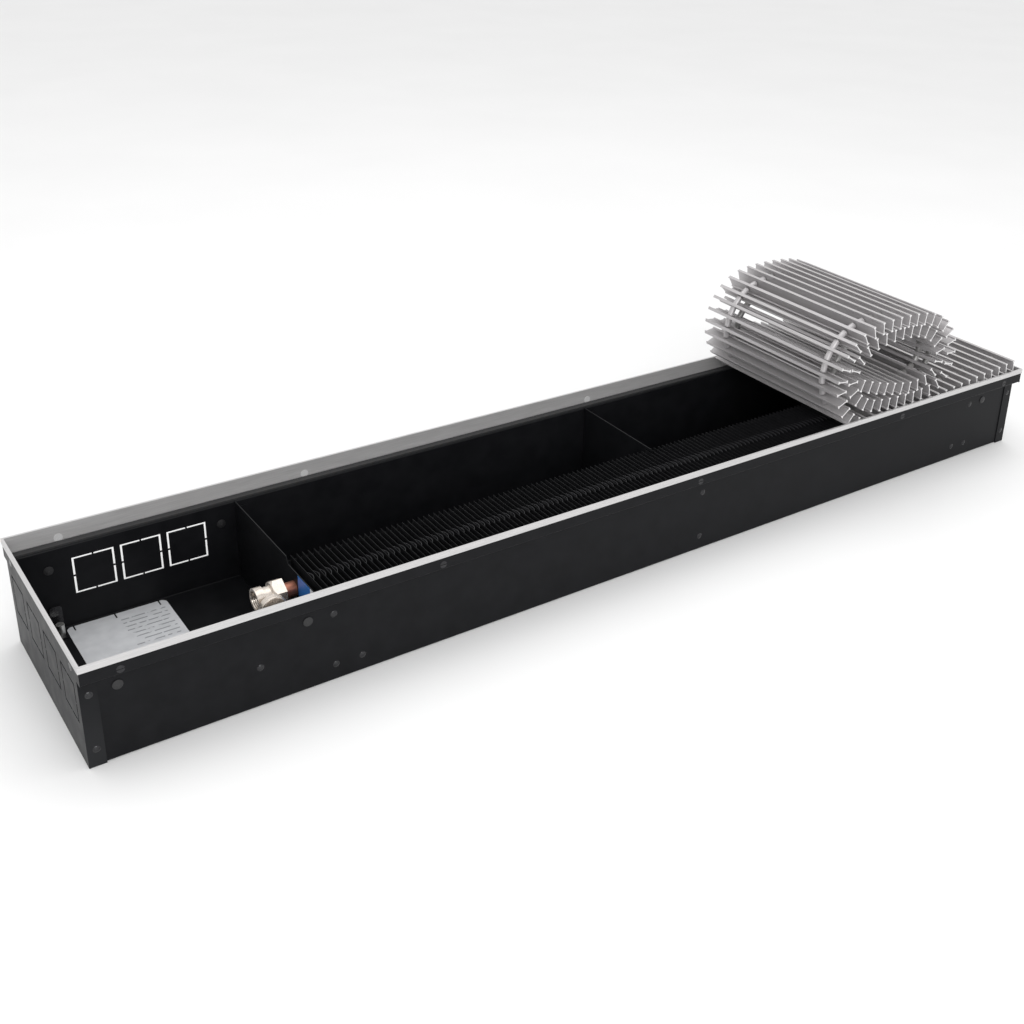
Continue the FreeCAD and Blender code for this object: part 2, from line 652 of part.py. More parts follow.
def tube(label, across):
    """One straight exchanger tube from the union nut to the return bend."""
    start = NUT_END + " - nut_length + tube_seat"
    length = "outlet_offset - inlet_offset + tube_overhang + steel + nut_gap + nut_length - tube_seat"
    outer = rod(label + "_outside", "tube_radius", length, X_AXIS, start, across, TUBE_HEIGHT)
    inner = rod(label + "_inside", "tube_bore", length, X_AXIS, start, across, TUBE_HEIGHT)
    return minus(label, outer, inner)


def return_bend():
    """The U-bend that joins the two tubes beyond the last partition."""
    rings = []
    for name, radius in (("bend_outside", "tube_radius"), ("bend_inside", "tube_bore")):
        ring = doc.addObject("Part::Torus", name)
        bind(ring, Radius1="tube_spacing / 2", Radius2=radius)
        ring.Angle3 = 180.0
        ring.Placement = Placement(Vector(0, 0, 0), Rotation(Z_AXIS, -90))
        place(ring, "outlet_offset - frame_length / 2 + tube_overhang + steel",
              "(%s + %s) / 2" % (FLOW_Y, RETURN_Y), TUBE_HEIGHT)
        rings.append(ring)
    return minus("return_bend", rings[0], rings[1])


# ---------------------------------------------------------------- pipe connections

def union_nut(label, across):
    """The hexagon union nut that clamps a tube to its fitting."""
    prism = doc.addObject("Part::Prism", label + "_hexagon")
    prism.Polygon = 6
    prism.Placement = Placement(Vector(0, 0, 0), Rotation(Z_AXIS, X_AXIS))
    bind(prism, Circumradius="nut_flats / 2 / cos(30)", Height="nut_length")
    place(prism, NUT_END + " - nut_length", across, TUBE_HEIGHT)
    ends = doc.addObject("Part::Cone", label + "_chamfer")
    ends.Placement = Placement(Vector(0, 0, 0), Rotation(Z_AXIS, X_AXIS))
    bind(ends, Radius1="nut_flats / 2 - 0.4", Radius2="nut_flats / 2 + nut_length", Height="nut_length + 0.4")
    place(ends, NUT_END + " - nut_length", across, TUBE_HEIGHT)
    rounded = doc.addObject("Part::MultiCommon", label + "_rounded")
    rounded.Shapes = [prism, ends]
    bore = rod(label + "_bore", "tube_radius + tube_play", "nut_length + 2", X_AXIS,
               NUT_END + " - nut_length - 1", across, TUBE_HEIGHT)
    return minus(label, rounded, bore)


def valve_body(label, across, branch):
    """A brass fitting from the pipe port to the union nut, with or without a spindle branch."""
    barrel = rod(label + "_barrel", "valve_radius", "valve_length", X_AXIS, PORT_FACE, across, TUBE_HEIGHT)
    collar = rod(label + "_collar", "port_radius", "port_collar", X_AXIS, PORT_FACE, across, TUBE_HEIGHT)
    pieces = [barrel, collar]
    if branch:
        stub = rod(label + "_branch", "branch_radius", "branch_reach", -Y_AXIS,
                   PORT_FACE + " + branch_offset", across, TUBE_HEIGHT)
        pieces.append(stub)
    else:
        boss = rod(label + "_vent_boss", "vent_radius + 1.6", "valve_radius + vent_height", Z_AXIS,
                   PORT_FACE + " + branch_offset", across, TUBE_HEIGHT)
        pieces.append(boss)
    solid = plus(label + "_solid", *pieces)
    port = rod(label + "_port", "port_bore", "port_depth", X_AXIS, PORT_FACE, across, TUBE_HEIGHT)
    passage = rod(label + "_passage", "tube_bore", "valve_length", X_AXIS, PORT_FACE, across, TUBE_HEIGHT)
    tools = [port, passage]
    if not branch:
        tools.append(rod(label + "_vent_hole", "vent_radius + rivet_play", "vent_height", Z_AXIS,
                         PORT_FACE + " + branch_offset", across, TUBE_HEIGHT + " + valve_radius + 0.8"))
    return minus(label, solid, *tools)


def valve_cap():
    """The screw cap over the return valve's spindle."""
    x = PORT_FACE + " + branch_offset"
    y = RETURN_Y + " - branch_reach + cap_grip"
    shell = rod("cap_shell", "cap_radius", "cap_height", -Y_AXIS, x, y, TUBE_HEIGHT)
    rounded = doc.addObject("Part::Fillet", "cap_rounded")
    rounded.Base = shell
    doc.recompute()
    rims = [i + 1 for i, edge in enumerate(shell.Shape.Edges) if isinstance(edge.Curve, Part.Circle)]
    front = [i for i in rims if shell.Shape.Edges[i - 1].CenterOfMass.y < shell.Shape.CenterOfMass.y]
    rounded.Edges = [(front[0], 1.5, 1.5)]
    socket = rod("cap_socket", "branch_radius + cap_play", "cap_grip + cap_gap", -Y_AXIS, x, y, TUBE_HEIGHT)
    return minus("valve_cap", rounded, socket)


def vent_screw():
    """The slotted bleed screw in the flow fitting."""
    x = PORT_FACE + " + branch_offset"
    low = TUBE_HEIGHT + " + valve_radius + 1.0"
    stem = rod("vent_stem", "vent_radius", "vent_height", Z_AXIS, x, FLOW_Y, low)
    slot = box("vent_slot", "3 * vent_radius", "0.9", "2", x + " - 1.5 * vent_radius", FLOW_Y + " - 0.45",
               low + " + vent_height - 1.2")
    return minus("vent_screw", stem, slot)


# ---------------------------------------------------------------- grille

def grille_path():
    """Where the grille's mid-line starts, and the length and bend of each of its runs.

    The grille runs left from its raised free end, comes down to the ledge, runs level and then
    winds up in arcs. The heading is 0 along -X and grows as the grille turns upwards.
    """
    tilt = math.radians(size("tilt_turn"))
    settle = size("tilt_radius") * tilt
    level = size("slat_pitch") * (size("flat_count") - 1) - size("tilt_run") - settle
    runs = [(size("tilt_run"), 0.0), (settle, 1.0 / size("tilt_radius")), (level, 0.0)]
    spread = size("slat_height") / size("roll_slat_height")
    for number in range(1, len(ROLL) + 1):
        radius = spread * size("roll_radius_%02d" % number)
        runs.append((radius * math.radians(size("roll_turn_%02d" % number)), 1.0 / radius))
    runs.append((size("frame_length"), 0.0))
    rest = size("frame_height") - size("ledge_depth") + size("strip_height") + size("slat_height") / 2
    drop = size("tilt_run") * math.sin(tilt) + size("tilt_radius") * (1 - math.cos(tilt))
    return (size("frame_length") / 2 - size("grille_end_gap"), rest + drop, -tilt), runs


def point_at(distance):
    """The grille's mid-line point and heading at a distance from its free end."""
    (x, z, heading), runs = grille_path()
    if distance < 0:
        return along(x, z, heading, 0.0, distance)
    for length, bend in runs:
        if distance <= length:
            return along(x, z, heading, bend, distance)
        x, z, heading = along(x, z, heading, bend, length)
        distance -= length


def grille_stations():
    """Centre and heading of every slat, an even pitch apart along the grille's mid-line."""
    return [point_at(i * size("slat_pitch")) for i in range(int(size("slat_count")))]


def along(x, z, heading, bend, distance):
    """Step a distance along a straight run or an arc of constant bend."""
    if bend == 0.0:
        return x - distance * math.cos(heading), z + distance * math.sin(heading), heading
    turned = heading + bend * distance
    return (x - (math.sin(turned) - math.sin(heading)) / bend,
            z - (math.cos(turned) - math.cos(heading)) / bend, turned)


def slat_blank():
    """One extruded slat: web with a flange along each edge, holed for the two springs."""
    body = new_body("slat_blank")
    sketch = new_sketch(body, "slat_section", "XZ_Plane")
    flange = "slat_flange / 2"
    web = "slat_web / 2"
    top = "slat_height / 2"
    step = "(slat_height / 2 - slat_lip)"
    taper = "(slat_height / 2 - slat_lip - 0.8)"
    quarter = [(flange, top), (flange, step), (web, taper)]
    right = quarter + [(across, "-(%s)" % up) for across, up in reversed(quarter)]
    left = [("-" + across, "-(%s)" % up) for across, up in right]
    add_outline(sketch, right + left)
    pad(body, sketch, "frame_width - 2 * %s - 2 * slat_play" % FRAME_LIP, middle=True)
    holes = new_sketch(body, "slat_holes", "YZ_Plane")
    for way in ("", "-"):
        add_circle(holes, "%s(frame_width / 2 - %s - slat_play - sleeve_inset)" % (way, FRAME_LIP), "0", "spring_hole")
    pocket(body, holes, "3 * slat_flange", middle=True)
    return body


def sleeve_blank():
    """One spacer sleeve along X, centred on the origin."""
    length = "slat_pitch - slat_web - 2 * sleeve_gap"
    outer = rod("sleeve_outside", "sleeve_radius", length, X_AXIS, "-(%s) / 2" % length, "0", "0")
    inner = rod("sleeve_inside", "sleeve_bore", length, X_AXIS, "-(%s) / 2" % length, "0", "0")
    return minus("sleeve_blank", outer, inner)


def row_offset():
    """Distance of the two rows of sleeves from the middle of the trough."""
    lip = 2 * size("frame_wall") + size("steel")
    return size("frame_width") / 2 - lip - size("slat_play") - size("sleeve_inset")


def slat_at(blank, station):
    """A slat standing square to the grille at a station."""
    x, z, heading = station
    return moved(blank.Shape, Placement(Vector(x, 0, z), Rotation(Y_AXIS, math.degrees(heading))))


def sleeves_between(blank, station, following):
    """The pair of sleeves between two slats, along the line that joins their centres."""
    x, z, _ = station
    end_x, end_z, _ = following
    lean = math.degrees(math.atan2(end_z - z, x - end_x))
    middle = ((x + end_x) / 2, (z + end_z) / 2)
    return [moved(blank.Shape, Placement(Vector(middle[0], side * row_offset(), middle[1]), Rotation(Y_AXIS, lean)))
            for side in (-1, 1)]


def spring_solids(start, end):
    """The two spring cores through a stretch of the grille, along its mid-line."""
    marks = [start]
    done = 0.0
    for length, _ in grille_path()[1]:
        done += length
        if start < done < end:
            marks.append(done)
    marks.append(end)
    solids = []
    for side in (-1, 1):
        edges = []
        for low, high in zip(marks, marks[1:]):
            stops = [point_at(distance) for distance in (low, (low + high) / 2, high)]
            corners = [Vector(x, side * row_offset(), z) for x, z, _ in stops]
            bent = abs(stops[2][2] - stops[0][2]) > 1e-6
            edges.append(Part.Arc(*corners).toShape() if bent else Part.makeLine(corners[0], corners[2]))
        x, z, heading = point_at(start)
        ahead = Vector(-math.cos(heading), 0, math.sin(heading))
        ring = Part.Circle(Vector(x, side * row_offset(), z), ahead, size("spring_radius")).toShape()
        solids.append(Part.Wire(edges).makePipe(Part.Face(Part.Wire([ring]))))
    return solids


# ---------------------------------------------------------------- small pieces

def ledge_strips():
    """Damping strips on the two ledges, under the slat ends, from one end rail to the other."""
    strips = []
    for side in ("front", "rear"):
        y = ("-(%s) - strip_width" % WALL) if side == "front" else WALL
        strips.append(box("strip_" + side, "frame_length - 2 * (%s)" % FRAME_LIP, "strip_width",
                          "strip_height", "%s - frame_length / 2" % FRAME_LIP, y, LEDGE))
    joined = doc.addObject("Part::Compound", "ledge_strips")
    joined.Links = strips
    return joined


def data_card():
    """The loose data card on the floor of the connection chamber, slotted along one edge."""
    body = new_body("data_card")
    sketch = new_sketch(body, "card_outline", "XY_Plane", "steel")
    left = "(-%s + card_end_gap)" % END
    far = "(%s - steel - card_wall_gap)" % WALL
    add_outline(sketch, [(left, far + " - card_width"), (left + " + card_length", far + " - card_width"),
                         (left + " + card_length", far), (left, far)])
    pad(body, sketch, "card_thickness")
    fold(body, "card_corner", lambda edge: isinstance(edge.Curve, Part.Line)
         and abs(edge.Curve.Direction.z) > 0.999)
    slots = new_sketch(body, "card_slots", "XY_Plane", "steel")
    for share in (0.075, 0.48, 0.925):
        middle = "(%s + %.3f * card_length)" % (left, share)
        low = far + " - card_slot"
        add_outline(slots, [(middle + " - card_slot_width / 2", low), (middle + " + card_slot_width / 2", low),
                            (middle + " + card_slot_width / 2", far + " + 1"),
                            (middle + " - card_slot_width / 2", far + " + 1")])
    pocket(body, slots, "2 * steel", middle=True)
    return body


def flow_sticker():
    """The film sticker on the connection side of the inlet partition."""
    back = "inlet_offset - frame_length / 2"
    film = box("sticker_film_sheet", "sticker_film", "sticker_length", "sticker_height",
               back + " - sticker_film", "%s - tube_radius - sticker_gap - sticker_length" % RETURN_Y,
               "%s - partition_step - sticker_height - 0.5" % LEDGE)
    hole = rod("sticker_hole", "tube_radius + hole_play", "4 * sticker_film", X_AXIS,
               back + " - 2 * sticker_film", FLOW_Y, TUBE_HEIGHT)
    return minus("flow_sticker", film, hole)


def foot_brackets():
    """The four L-shaped levelling brackets, each on a long wall and the floor."""
    solids = []
    plate = size("foot_plate")
    for x, y, side in foot_places():
        wall = y + side * size("foot_wall_gap")
        width = size("foot_width")
        depth = size("foot_depth")
        floor = size("steel")
        low = min(wall, wall - side * depth)
        foot = Part.makeBox(width, depth, plate, Vector(x - width / 2, low, floor))
        low = min(wall, wall - side * plate)
        tab = Part.makeBox(width, plate, size("foot_height"), Vector(x - width / 2, low, floor))
        corners = [edge for edge in tab.Edges
                   if abs(edge.tangentAt(edge.FirstParameter).y) > 0.99 and edge.CenterOfMass.z > size("foot_height")]
        tab = tab.makeFillet(size("foot_corner"), corners)
        hole = Part.makeCylinder(size("foot_bolt") + size("foot_play"), 4 * plate, Vector(x, y, 0), Z_AXIS)
        bent = foot.fuse(tab).removeSplitter()
        heel = [edge for edge in bent.Edges if runs_along(edge, X_AXIS, Y_AXIS, Z_AXIS, [(wall, floor)])]
        solids.append(bent.makeFillet(size("bend_radius"), heel).cut(hole))
    return group("foot_brackets", solids)


def foot_bolts():
    """The slotted levelling bolts, one node each."""
    made = []
    for number, (x, y, _) in enumerate(foot_places(), 1):
        stem = Part.makeCylinder(size("foot_bolt"), size("foot_bolt_top"), Vector(x, y, 0), Z_AXIS)
        width = size("foot_slot")
        depth = size("foot_slot_depth")
        slot = Part.makeBox(3 * size("foot_bolt"), width, 2 * depth,
                            Vector(x - 1.5 * size("foot_bolt"), y - width / 2, size("foot_bolt_top") - depth))
        made.append(group("foot_bolt_%d" % number, [stem.cut(slot)]))
    return made


# ---------------------------------------------------------------- assembly

def steel_and_frame():
    """Trough, end plates, partitions and edge frame, all holed for their fasteners."""
    bores = fastener_bores()
    parts = [minus("trough_channel", trough_blank(), bores, foot_bores())]
    parts.append(minus("end_plate_left", end_plate_blank("left_blank", -1, True), bores))
    parts.append(minus("end_plate_right", end_plate_blank("right_blank", 1, False), bores))
    for label, along_x, side in (("frame_rail_front", True, -1), ("frame_rail_rear", True, 1),
                                 ("frame_rail_left", False, -1), ("frame_rail_right", False, 1)):
        parts.append(minus(label, frame_rail_blank(label + "_blank", along_x, side), bores))
    for label, offset, saddle in (("partition_inlet", "inlet_offset", False),
                                  ("partition_middle", "middle_offset", True),
                                  ("partition_outlet", "outlet_offset", False)):
        parts.append(minus(label, partition_blank(label + "_blank", offset, saddle), bores))
    return parts


def fasteners():
    """Screws, clinch discs and rivets."""
    screw = screw_shape()
    inner = size("steel") + size("frame_wall")
    disc = Part.makeCylinder(size("clinch_radius"), size("clinch_height"), Vector(0, 0, inner), Z_AXIS)
    ends, partitions, walls = rivet_places()
    lap = rivet_shape(2 * size("steel"))
    flange = rivet_shape(2 * size("steel") + size("partition_gap"))
    return [group("frame_screws", [moved(screw, pointing(*spot)) for spot in screw_places()]),
            group("clinch_discs", [moved(disc, pointing(*spot)) for spot in screw_places()]),
            group("end_rivets", [moved(lap, pointing(*spot)) for spot in ends]),
            group("partition_rivets", [moved(flange, pointing(*spot)) for spot in partitions]),
            group("wall_rivets", [moved(flange, pointing(*spot)) for spot in walls]),
            group("wall_plugs", [moved(plug_shape(), pointing(*spot)) for spot in wall_places(WALL_PLUGS)])]


def exchanger():
    """Fins, tubes, return bend, fittings, cap and vent."""
    return [group("exchanger_fins", fin_shapes()), tube("flow_tube", FLOW_Y), tube("return_tube", RETURN_Y),
            return_bend(), union_nut("flow_nut", FLOW_Y), union_nut("return_nut", RETURN_Y),
            valve_body("flow_fitting", FLOW_Y, False), valve_body("return_valve", RETURN_Y, True),
            valve_cap(), vent_screw()]


def grille():
    """The slat grille: flat stretch, the links of the loose bend, and the rolled rest."""
    slat = slat_blank()
    sleeve = sleeve_blank()
    doc.recompute()
    stations = grille_stations()
    flat = int(size("flat_count"))
    loose = flat + int(size("bend_count"))
    last = len(stations) - 1
    pitch = size("slat_pitch")
    tail = size("spring_tail")
    parts = [group("grille_flat_slats", [slat_at(slat, stations[i]) for i in range(flat)])]
    parts.append(group("grille_flat_sleeves", [solid for i in range(flat)
                                               for solid in sleeves_between(sleeve, stations[i], stations[i + 1])]))
    parts.append(group("grille_flat_springs", spring_solids(-tail, (flat - 1) * pitch + size("slat_web"))))
    for i in range(flat, loose):
        link = [slat_at(slat, stations[i])] + sleeves_between(sleeve, stations[i], stations[i + 1])
        parts.append(group("grille_link_%02d" % (i - flat + 1), link))
    parts.append(group("grille_roll_slats", [slat_at(slat, stations[i]) for i in range(loose, last + 1)]))
    parts.append(group("grille_roll_sleeves", [solid for i in range(loose, last)
                                               for solid in sleeves_between(sleeve, stations[i], stations[i + 1])]))
    parts.append(group("grille_roll_springs", spring_solids(loose * pitch - size("slat_web"), last * pitch + tail)))
    return parts


def check(parts):
    """Stop if anything failed to compute or came out empty or invalid."""
    doc.recompute()
    for thing in doc.Objects:
        if "Invalid" in thing.State or "Error" in thing.State:
            raise RuntimeError("%s is %s" % (thing.Name, thing.State))
    for part in parts:
        if part.Shape.isNull() or not part.Shape.isValid() or not part.Shape.Solids:
            raise RuntimeError("%s has no valid solid" % part.Label)


def main():
    """Build every sub-part and write one STEP file for each."""
    fill_sheet()
    parts = steel_and_frame() + fasteners() + exchanger() + grille()
    parts += [ledge_strips(), data_card(), flow_sticker(), foot_brackets()] + foot_bolts()
    check(parts)
    os.makedirs("parts", exist_ok=True)
    for part in parts:
        part.Shape.exportStep(os.path.join("parts", part.Label + ".step"))
        print(part.Label, len(part.Shape.Solids), "solids", round(part.Shape.Volume / 1000.0, 2), "cm3")


main()
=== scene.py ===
import math
import bpy
import numpy as np
from mathutils import Matrix, Vector


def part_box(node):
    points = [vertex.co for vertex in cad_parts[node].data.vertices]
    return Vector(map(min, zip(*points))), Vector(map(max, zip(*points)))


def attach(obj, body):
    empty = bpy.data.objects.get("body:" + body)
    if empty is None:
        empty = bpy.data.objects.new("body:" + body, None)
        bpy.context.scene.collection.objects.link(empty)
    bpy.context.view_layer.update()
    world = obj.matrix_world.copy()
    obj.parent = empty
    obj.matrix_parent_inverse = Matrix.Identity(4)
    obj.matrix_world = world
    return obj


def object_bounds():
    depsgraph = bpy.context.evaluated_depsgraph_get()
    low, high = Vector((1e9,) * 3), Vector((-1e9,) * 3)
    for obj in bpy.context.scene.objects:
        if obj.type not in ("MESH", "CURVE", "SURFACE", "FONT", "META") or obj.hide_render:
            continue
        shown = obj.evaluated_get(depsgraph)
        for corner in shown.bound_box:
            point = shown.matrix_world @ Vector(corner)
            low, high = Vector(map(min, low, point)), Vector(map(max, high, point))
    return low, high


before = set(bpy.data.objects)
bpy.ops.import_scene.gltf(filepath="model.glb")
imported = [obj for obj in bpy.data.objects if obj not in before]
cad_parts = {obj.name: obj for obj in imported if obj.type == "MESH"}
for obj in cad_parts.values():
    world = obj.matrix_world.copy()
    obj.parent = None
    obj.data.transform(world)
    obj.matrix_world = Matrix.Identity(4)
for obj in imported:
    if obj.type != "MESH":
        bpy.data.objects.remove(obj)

cad_low, cad_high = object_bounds()

# ------------------------------------------------------------------ trough sheet metal
# The channel, its end plates and the partitions are folded from 1 mm steel sheet and powder
# coated black inside and out. The coat is satin, with a fine orange-peel texture. The left end
# plate's coat is painted greyer towards the bottom, a painted reflection of the pale floor.


def new_finish(name, colour, metallic, roughness):
    """A material whose shader starts from a plain colour, metalness and roughness."""
    material = bpy.data.materials.new(name)
    material.use_nodes = True
    shader = material.node_tree.nodes["Principled BSDF"]
    shader.inputs["Base Color"].default_value = (*colour, 1.0)
    shader.inputs["Metallic"].default_value = metallic
    shader.inputs["Roughness"].default_value = roughness
    return material


def grain(material, per_metre, stretch=(1.0, 1.0, 1.0), detail=3.0):
    """Cloudy noise over object coordinates, with the given features per metre, drawn out along
    an axis by dividing that axis by its stretch; gives the 0 to 1 output."""
    tree = material.node_tree
    coordinates = tree.nodes.new("ShaderNodeTexCoord")
    mapping = tree.nodes.new("ShaderNodeMapping")
    mapping.inputs["Scale"].default_value = [1.0 / part for part in stretch]
    noise = tree.nodes.new("ShaderNodeTexNoise")
    noise.inputs["Scale"].default_value = per_metre
    noise.inputs["Detail"].default_value = detail
    tree.links.new(coordinates.outputs["Object"], mapping.inputs["Vector"])
    tree.links.new(mapping.outputs["Vector"], noise.inputs["Vector"])
    return noise.outputs["Fac"]


def mix_colour(material, factor, first, second):
    """Drive the base colour from first to second as factor goes from 0.3 to 0.7."""
    ramp = material.node_tree.nodes.new("ShaderNodeValToRGB")
    ramp.color_ramp.elements[0].position = 0.3
    ramp.color_ramp.elements[1].position = 0.7
    ramp.color_ramp.elements[0].color = (*first, 1.0)
    ramp.color_ramp.elements[1].color = (*second, 1.0)
    material.node_tree.links.new(factor, ramp.inputs["Fac"])
    shader = material.node_tree.nodes["Principled BSDF"]
    material.node_tree.links.new(ramp.outputs["Color"], shader.inputs["Base Color"])
    return ramp


def vary_roughness(material, factor, low, high):
    """Drive the roughness from low to high as factor goes from 0.25 to 0.75."""
    span = material.node_tree.nodes.new("ShaderNodeMapRange")
    span.inputs["From Min"].default_value = 0.25
    span.inputs["From Max"].default_value = 0.75
    span.inputs["To Min"].default_value = low
    span.inputs["To Max"].default_value = high
    shader = material.node_tree.nodes["Principled BSDF"]
    material.node_tree.links.new(factor, span.inputs["Value"])
    material.node_tree.links.new(span.outputs["Result"], shader.inputs["Roughness"])


def emboss(material, factor, depth, strength=1.0):
    """Raise the surface by depth metres where factor is 1."""
    bump = material.node_tree.nodes.new("ShaderNodeBump")
    bump.inputs["Distance"].default_value = depth
    bump.inputs["Strength"].default_value = strength
    shader = material.node_tree.nodes["Principled BSDF"]
    material.node_tree.links.new(factor, bump.inputs["Height"])
    material.node_tree.links.new(bump.outputs["Normal"], shader.inputs["Normal"])


def dress(material, *nodes):
    """Give CAD nodes a finish."""
    for node in nodes:
        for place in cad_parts[node].material_slots:
            place.material = material


def blend(material, low_place, high_place, axis):
    """0 to 1 as the object coordinate along an axis goes from one place to the other."""
    tree = material.node_tree
    coordinates = tree.nodes.new("ShaderNodeTexCoord")
    split = tree.nodes.new("ShaderNodeSeparateXYZ")
    span = tree.nodes.new("ShaderNodeMapRange")
    span.interpolation_type = "SMOOTHSTEP"
    span.inputs["From Min"].default_value = low_place
    span.inputs["From Max"].default_value = high_place
    tree.links.new(coordinates.outputs["Object"], split.inputs["Vector"])
    tree.links.new(split.outputs[axis], span.inputs["Value"])
    return span.outputs["Result"]


def cover(material, factor, colour):
    """Lay a second colour over the base colour where factor is 1."""
    tree = material.node_tree
    shader = tree.nodes["Principled BSDF"]
    mix = tree.nodes.new("ShaderNodeMix")
    mix.data_type = "RGBA"
    mix.inputs["B"].default_value = (*colour, 1.0)
    tree.links.new(factor, mix.inputs["Factor"])
    tree.links.new(shader.inputs["Base Color"].links[0].from_socket, mix.inputs["A"])
    tree.links.new(mix.outputs["Result"], shader.inputs["Base Color"])


powder = new_finish("black_powder_coat", (0.0065, 0.0067, 0.0076), 0.0, 0.42)
powder.node_tree.nodes["Principled BSDF"].inputs["Specular IOR Level"].default_value = 0.11
powder_cloud = grain(powder, 60.0)
powder_peel = grain(powder, 1400.0, detail=1.0)
mix_colour(powder, powder_cloud, (0.0054, 0.0056, 0.0065), (0.0078, 0.0080, 0.0092))
vary_roughness(powder, powder_cloud, 0.36, 0.46)
emboss(powder, powder_peel, 0.00004, 0.6)
dress(powder, "trough_channel", "end_plate_right")
dress(powder, "partition_inlet", "partition_middle", "partition_outlet")

# Painted reflection: the left end plate's coat is painted greyer towards the bottom, in place of
# the pale floor reflected in its satin coat.
end_plate_painted_reflection = powder.copy()
end_plate_painted_reflection.name = "black_powder_coat_end_painted_reflection"
cover(end_plate_painted_reflection, blend(end_plate_painted_reflection, 0.095, 0.0, "Z"), (0.017, 0.0175, 0.019))
dress(end_plate_painted_reflection, "end_plate_left")

# ------------------------------------------------------------------ edge frame
# Four lengths of extruded aluminium U-profile, mitred at the corners and pushed over the
# upper edge of the trough. Natural anodised, with fine draw lines along each length.

for along, rails in (("x", ("frame_rail_front", "frame_rail_rear")),
                     ("y", ("frame_rail_left", "frame_rail_right"))):
    rail = new_finish("rail_aluminium_" + along, (0.62, 0.61, 0.61), 0.5, 0.42)
    draw = (60.0, 1.0, 1.0) if along == "x" else (1.0, 60.0, 1.0)
    lines = grain(rail, 2600.0, stretch=draw, detail=2.0)
    mix_colour(rail, lines, (0.50, 0.495, 0.495), (0.60, 0.59, 0.59))
    vary_roughness(rail, lines, 0.36, 0.5)
    emboss(rail, lines, 0.00002, 0.5)
    dress(rail, *rails)

# ------------------------------------------------------------------ screws and rivets
# Countersunk screws hold the edge frame to the trough, and dome rivets hold the end plates
# and partitions. They are coated black like the sheet; the clinch discs are bare aluminium.

fastener = new_finish("black_fastener", (0.02, 0.02, 0.022), 0.6, 0.3)
fastener_wear = grain(fastener, 900.0)
mix_colour(fastener, fastener_wear, (0.018, 0.018, 0.020), (0.036, 0.036, 0.038))
vary_roughness(fastener, fastener_wear, 0.16, 0.28)
emboss(fastener, fastener_wear, 0.00003, 0.5)
dress(fastener, "frame_screws", "end_rivets", "partition_rivets", "wall_rivets")

plug = new_finish("soft_plug", (0.009, 0.009, 0.010), 0.0, 0.5)
plug_cloud = grain(plug, 700.0)
mix_colour(plug, plug_cloud, (0.007, 0.007, 0.008), (0.012, 0.012, 0.013))
vary_roughness(plug, plug_cloud, 0.42, 0.58)
dress(plug, "wall_plugs")

disc = new_finish("pressed_disc", (0.74, 0.74, 0.74), 0.4, 0.38)
disc_grain = grain(disc, 1500.0)
mix_colour(disc, disc_grain, (0.68, 0.68, 0.68), (0.80, 0.80, 0.80))
vary_roughness(disc, disc_grain, 0.3, 0.48)
dress(disc, "clinch_discs")

# ------------------------------------------------------------------ heat exchanger
# Thin aluminium fins pressed on to two copper tubes, sprayed matt black after assembly.

fins = new_finish("black_fins", (0.008, 0.008, 0.009), 0.0, 0.5)
fins.node_tree.nodes["Principled BSDF"].inputs["Specular IOR Level"].default_value = 0.16
fin_cloud = grain(fins, 220.0)
mix_colour(fins, fin_cloud, (0.0065, 0.0066, 0.0074), (0.0105, 0.0107, 0.012))
vary_roughness(fins, fin_cloud, 0.42, 0.6)
emboss(fins, grain(fins, 1200.0), 0.00005, 0.5)
dress(fins, "exchanger_fins")


def solid_strips(name, rings):
    """Closed strips from an array (strip, station, corner, xyz): each station's corners make a
    ring, neighbouring rings are joined by four-sided faces, and both end rings are capped."""
    strips, stations, corners, _ = rings.shape
    number = np.arange(strips * stations * corners).reshape(strips, stations, corners)
    after = np.roll(number, -1, axis=2)
    sides = np.stack([number[:, :-1], after[:, :-1], after[:, 1:], number[:, 1:]], axis=-1)
    faces = sides.reshape(-1, 4).tolist()
    faces += number[:, 0, ::-1].reshape(-1, corners).tolist()
    faces += number[:, -1].reshape(-1, corners).tolist()
    mesh = bpy.data.meshes.new(name)
    mesh.from_pydata(rings.reshape(-1, 3).tolist(), [], faces)
    mesh.update()
    thing = bpy.data.objects.new(name, mesh)
    bpy.context.scene.collection.objects.link(thing)
    return thing


def node_points(node):
    """Every vertex of a CAD node, in metres, as an array."""
    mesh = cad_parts[node].data
    points = np.empty(len(mesh.vertices) * 3)
    mesh.vertices.foreach_get("co", points)
    return points.reshape(-1, 3)


def fin_lips():
    """The bent lip on each fin's upper edge.

    Along a lip s goes from 0 to 1 and y from its front to its rear end; it stands out from the
    fin's right face by the bulge times 1 minus (2 s - 1) squared, so it is a shallow arch.
    """
    points = node_points("exchanger_fins")
    faces_x = np.unique(np.round(points[:, 0], 4))
    right = faces_x[1::2]
    top = points[:, 2].max()
    s = np.linspace(0.0, 1.0, 9)
    bulge, depth, sheet = 0.0026, 0.0021, 0.0003
    front_end, length = -0.066, 0.014
    reach = bulge * (1.0 - (2.0 * s - 1.0) ** 2)
    y = front_end + length * s
    rings = np.empty((len(right), len(s), 4, 3))
    rings[..., 1] = y[None, :, None]
    rings[..., 0] = right[:, None, None] + reach[None, :, None] + np.array([0.0, sheet, sheet, 0.0])
    rings[..., 2] = top + np.array([-depth, -depth, 0.0, 0.0])
    return solid_strips("fin_lips", rings)


lips = fin_lips()
# Painted highlight: the fin lips are coloured lighter than the fins, in place of the glints along
# the fins' bent upper edges.
lip_painted_highlight = new_finish("fin_lip_painted_highlight", (0.03, 0.03, 0.033), 0.0, 0.42)
lip_cloud = grain(lip_painted_highlight, 500.0)
mix_colour(lip_painted_highlight, lip_cloud, (0.016, 0.016, 0.018), (0.036, 0.036, 0.040))
vary_roughness(lip_painted_highlight, lip_cloud, 0.34, 0.5)
lips.data.materials.append(lip_painted_highlight)
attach(lips, "trough")

